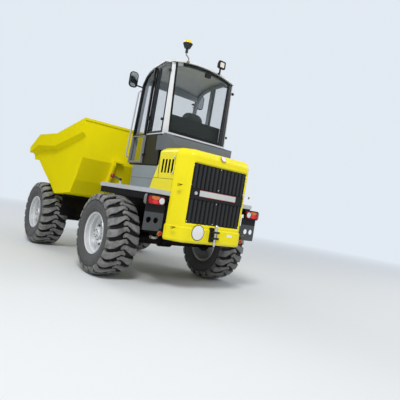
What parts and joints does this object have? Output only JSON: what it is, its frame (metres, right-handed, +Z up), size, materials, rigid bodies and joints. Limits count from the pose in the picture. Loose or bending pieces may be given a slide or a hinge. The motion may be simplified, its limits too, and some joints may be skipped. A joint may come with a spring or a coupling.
{
  "type": "articulated_site_dumper",
  "caption": "Articulated site dumper with a yellow front-tipping skip, glazed cab over the rear hood, wide flotation tyres and a centre pivot",
  "frame": {"origin": "on the ground under the middle of the whole machine", "axes": "+X forward to the skip, +Y to the driver's left, +Z up"},
  "size_m": [4.93, 2.5, 3.5895],
  "materials": {
    "body_yellow": "gloss paint",
    "frame_black": "satin paint",
    "cab_grey": "satin paint",
    "sill_grey": "moulded plastic",
    "step_grey": "moulded plastic",
    "deck_silver": "rolled edge",
    "grille_black": "moulded plastic",
    "steel": "bare steel",
    "rim_silver": "silver paint",
    "tyre_rubber": "dusty rubber",
    "glass": "clear",
    "seat_black": "seat cloth and vinyl",
    "trim_black": "moulded plastic",
    "lamp_red": "lamp lens",
    "lamp_amber": "beacon lens",
    "engine_grey": "cast"
  },
  "bodies": {
    "rear_frame": {"rear_chassis": "frame_black", "pivot_pin": "steel", "rear_axle": "frame_black", "engine_block": "engine_grey", "hood_cap": "body_yellow", "hood_body": "body_yellow", "grille": "grille_black", "grille_band": "deck_silver", "platforms": "deck_silver", "wings": "frame_black", "wing_brackets": "frame_black", "step_blocks": "step_grey", "cab_frame": "cab_grey", "cab_roof": "cab_grey", "cab_base": "frame_black", "cab_floor": "trim_black", "cab_panels": "trim_black", "cab_sill": "sill_grey", "rear_glass": "glass", "windscreen": "glass", "side_glass": "glass", "door_hinges": "frame_black", "seat": "seat_black", "steering_column": "trim_black", "tail_lamps": "lamp_red", "lamp_brackets": "frame_black", "tow_hitch": "frame_black", "tow_pin": "steel", "beacon": "lamp_amber", "work_lamps": "trim_black", "mirrors": "trim_black", "grab_rails": "steel", "marker_lamps": "lamp_red"},
    "door": {"door_frame": "cab_grey", "door_glass": "glass"},
    "front_frame": {"front_chassis": "frame_black", "front_axle": "frame_black", "mud_shields": "frame_black"},
    "skip": {"skip": "body_yellow", "skip_brackets": "body_yellow"},
    "tip_barrels": {"tip_barrels": "frame_black"},
    "tip_rods": {"tip_rods": "steel"},
    "steer_barrel_left": {"steer_barrel_left": "frame_black"},
    "steer_barrel_right": {"steer_barrel_right": "frame_black"},
    "steer_rod_left": {"steer_rod_left": "steel"},
    "steer_rod_right": {"steer_rod_right": "steel"},
    "wheel_rear_left": {"tyre_rear_left": "tyre_rubber", "rim_rear_left": "rim_silver"},
    "wheel_rear_right": {"tyre_rear_right": "tyre_rubber", "rim_rear_right": "rim_silver"},
    "wheel_front_left": {"tyre_front_left": "tyre_rubber", "rim_front_left": "rim_silver"},
    "wheel_front_right": {"tyre_front_right": "tyre_rubber", "rim_front_right": "rim_silver"}
  },
  "joints": [
    {"name": "steering", "type": "hinge", "parent": "rear_frame", "child": "front_frame", "pos_m": [0.06, 0, 0.67], "axis": [0, 0, 1], "range_deg": [-30, 30]},
    {"name": "skip_tip", "type": "hinge", "parent": "front_frame", "child": "skip", "pos_m": [1.7, 0, 1.1], "axis": [0, 1, 0], "range_deg": [0, 55]},
    {"name": "door", "type": "hinge", "parent": "rear_frame", "child": "door", "pos_m": [-1.149, 0.58363, 2.4], "axis": [0, 0, 1], "range_deg": [0, 105]},
    {"name": "tip_barrel_swing", "type": "hinge", "parent": "front_frame", "child": "tip_barrels", "pos_m": [0.42, 0, 0.62], "axis": [0, -1, 0], "range_deg": [0, 11.59]},
    {"name": "tip_rod_slide", "type": "slide", "parent": "tip_barrels", "child": "tip_rods", "axis": [0.9039, 0, 0.4277], "range_m": [-0.0001, 0.2377]},
    {"name": "steer_barrel_swing_left", "type": "hinge", "parent": "rear_frame", "child": "steer_barrel_left", "pos_m": [-0.32, 0.27, 0.62], "axis": [0, 0, 1], "range_deg": [-11.71, 11.71]},
    {"name": "steer_rod_slide_left", "type": "slide", "parent": "steer_barrel_left", "child": "steer_rod_left", "axis": [0.9999, -0.0161, 0], "range_m": [-0.1398, 0.1398]},
    {"name": "steer_barrel_swing_right", "type": "hinge", "parent": "rear_frame", "child": "steer_barrel_right", "pos_m": [-0.32, -0.27, 0.62], "axis": [0, 0, 1], "range_deg": [-11.71, 11.71]},
    {"name": "steer_rod_slide_right", "type": "slide", "parent": "steer_barrel_right", "child": "steer_rod_right", "axis": [0.9999, 0.0161, 0], "range_m": [-0.1398, 0.1398]},
    {"name": "wheel_rear_left", "type": "hinge", "parent": "rear_frame", "child": "wheel_rear_left", "pos_m": [-1.25, 1.01, 0.585], "axis": [0, 1, 0], "continuous": true},
    {"name": "wheel_rear_right", "type": "hinge", "parent": "rear_frame", "child": "wheel_rear_right", "pos_m": [-1.25, -1.01, 0.585], "axis": [0, 1, 0], "continuous": true},
    {"name": "wheel_front_left", "type": "hinge", "parent": "front_frame", "child": "wheel_front_left", "pos_m": [1.445, 1.01, 0.585], "axis": [0, 1, 0], "continuous": true},
    {"name": "wheel_front_right", "type": "hinge", "parent": "front_frame", "child": "wheel_front_right", "pos_m": [1.445, -1.01, 0.585], "axis": [0, 1, 0], "continuous": true}
  ],
  "couplings": [
    {"joint": "tip_barrel_swing", "follows": "skip_tip", "ratio": 0.20662},
    {"joint": "tip_rod_slide", "follows": "skip_tip", "m_per_rad": 0.24269},
    {"joint": "steer_barrel_swing_left", "follows": "steering", "ratio": 0.38263},
    {"joint": "steer_rod_slide_left", "follows": "steering", "m_per_rad": -0.26162},
    {"joint": "steer_barrel_swing_right", "follows": "steering", "ratio": 0.38263},
    {"joint": "steer_rod_slide_right", "follows": "steering", "m_per_rad": 0.26162}
  ]
}
